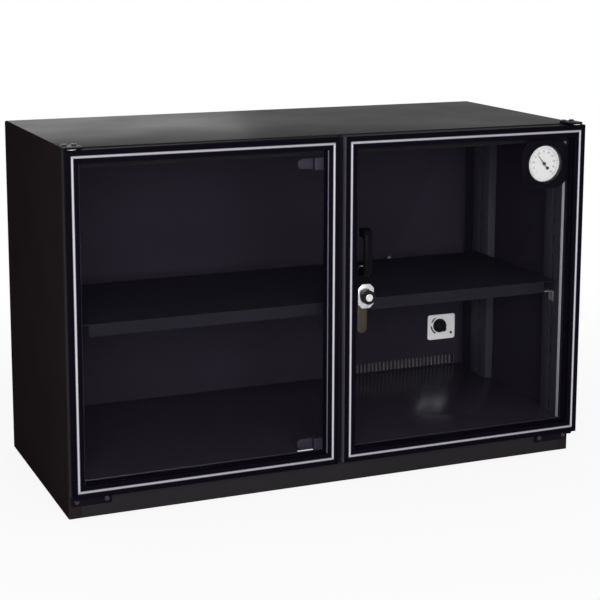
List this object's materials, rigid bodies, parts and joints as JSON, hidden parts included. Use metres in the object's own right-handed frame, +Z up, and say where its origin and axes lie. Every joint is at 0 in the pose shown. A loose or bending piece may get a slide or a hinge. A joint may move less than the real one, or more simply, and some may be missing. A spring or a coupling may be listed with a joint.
{
  "type": "camera dry cabinet",
  "caption": "Low, wide cabinet of black sheet steel with glazed doors, adjustable shelf, dial hygrometer, key lock, door latches and a desiccant drying unit behind the back wall.",
  "frame": {"origin": "under the middle of the whole width and depth, on the surface that the cabinet stands on", "axes": "+X along the width towards the right door, +Y from the doors to the back, +Z up"},
  "size_m": [0.9, 0.4704, 0.585],
  "materials": {
    "body_paint": "satin black powder coat",
    "hinge_black": "gloss black paint",
    "frame_paint": "satin black coat",
    "inlay": "bright brushed",
    "door_glass": "clear polished",
    "lens": "clear polished",
    "rubber": "matt",
    "black_plastic": "fine moulded grain",
    "bright_steel": "bright zinc plate",
    "heater": "mill finish",
    "brass": "pale satin",
    "dial_white": "white with a printed scale",
    "needle_black": "matt black",
    "plate_white": "white with a printed scale",
    "desiccant": "woven pack",
    "board_green": "lacquered board",
    "coil_grey": "moulded"
  },
  "bodies": {
    "cabinet": {"top_panel": "body_paint", "left_side_panel": "body_paint", "right_side_panel": "body_paint", "back_panel": "body_paint", "floor_panel": "body_paint", "plinth_rail": "body_paint", "rear_base_rail": "body_paint", "left_front_upright": "body_paint", "left_rear_upright": "body_paint", "right_front_upright": "body_paint", "right_rear_upright": "body_paint", "shelf": "body_paint", "shelf_clips": "bright_steel", "upper_left_hinge_plate": "hinge_black", "upper_right_hinge_plate": "hinge_black", "lower_left_hinge_bracket": "hinge_black", "lower_right_hinge_bracket": "hinge_black", "hinge_screws": "bright_steel", "control_plate": "plate_white", "indicator_lamp": "black_plastic", "humidistat_body": "black_plastic", "dryer_case": "black_plastic", "desiccant_pack": "desiccant", "heater_plate": "heater", "circuit_board": "board_green", "shutter_solenoid": "coil_grey", "rear_cover": "body_paint", "rear_cover_screws": "bright_steel", "power_inlet": "black_plastic", "back_panel_plug": "bright_steel"},
    "left_door": {"left_door_frame": "frame_paint", "left_door_trim": "inlay", "left_door_glass": "door_glass", "left_door_gasket": "rubber", "centre_seal": "rubber", "left_door_bushes": "bright_steel", "latch_bases": "black_plastic", "latch_screws": "bright_steel"},
    "upper_latch": {"upper_latch_lever": "black_plastic"},
    "lower_latch": {"lower_latch_lever": "black_plastic"},
    "right_door": {"right_door_frame": "frame_paint", "right_door_trim": "inlay", "right_door_glass": "door_glass", "right_door_gasket": "rubber", "right_door_bushes": "bright_steel", "pull_handle": "black_plastic", "handle_screws": "bright_steel", "lock_barrel": "black_plastic", "lock_nut": "bright_steel", "hygrometer_back_plate": "black_plastic", "hygrometer_housing": "black_plastic", "hygrometer_dial": "dial_white", "hygrometer_lens": "lens"},
    "lock": {"lock_plug": "bright_steel", "lock_cam": "brass", "cam_screw": "bright_steel"},
    "hygrometer_needle": {"hygrometer_needle": "needle_black"},
    "control_knob": {"control_knob": "black_plastic", "humidistat_shaft": "bright_steel"},
    "dryer_shutter": {"dryer_shutter": "bright_steel"}
  },
  "joints": [
    {"name": "left_door_hinge", "type": "hinge", "parent": "cabinet", "child": "left_door", "pos_m": [-0.438, -0.20525, 0.31], "axis": [0, 0, -1], "range_deg": [0, 120]},
    {"name": "right_door_hinge", "type": "hinge", "parent": "cabinet", "child": "right_door", "pos_m": [0.438, -0.20525, 0.31], "axis": [0, 0, 1], "range_deg": [0, 120]},
    {"name": "lock_turn", "type": "hinge", "parent": "right_door", "child": "lock", "pos_m": [0.046, -0.22, 0.315], "axis": [0, 1, 0], "range_deg": [0, 90]},
    {"name": "upper_latch_turn", "type": "hinge", "parent": "left_door", "child": "upper_latch", "pos_m": [-0.034, -0.184, 0.535], "axis": [0, 1, 0], "range_deg": [0, 90]},
    {"name": "lower_latch_turn", "type": "hinge", "parent": "left_door", "child": "lower_latch", "pos_m": [-0.034, -0.184, 0.071], "axis": [0, 1, 0], "range_deg": [-90, 0]},
    {"name": "control_knob_turn", "type": "hinge", "parent": "cabinet", "child": "control_knob", "pos_m": [0.3946, 0.19, 0.1407], "axis": [0, 1, 0], "range_deg": [-95, 175]},
    {"name": "hygrometer_needle_turn", "type": "hinge", "parent": "right_door", "child": "hygrometer_needle", "pos_m": [0.378, -0.202, 0.5145], "axis": [0, 1, 0], "range_deg": [-97, 173]},
    {"name": "shutter_slide", "type": "slide", "parent": "cabinet", "child": "dryer_shutter", "axis": [1, 0, 0], "range_m": [0, 0.004]}
  ]
}
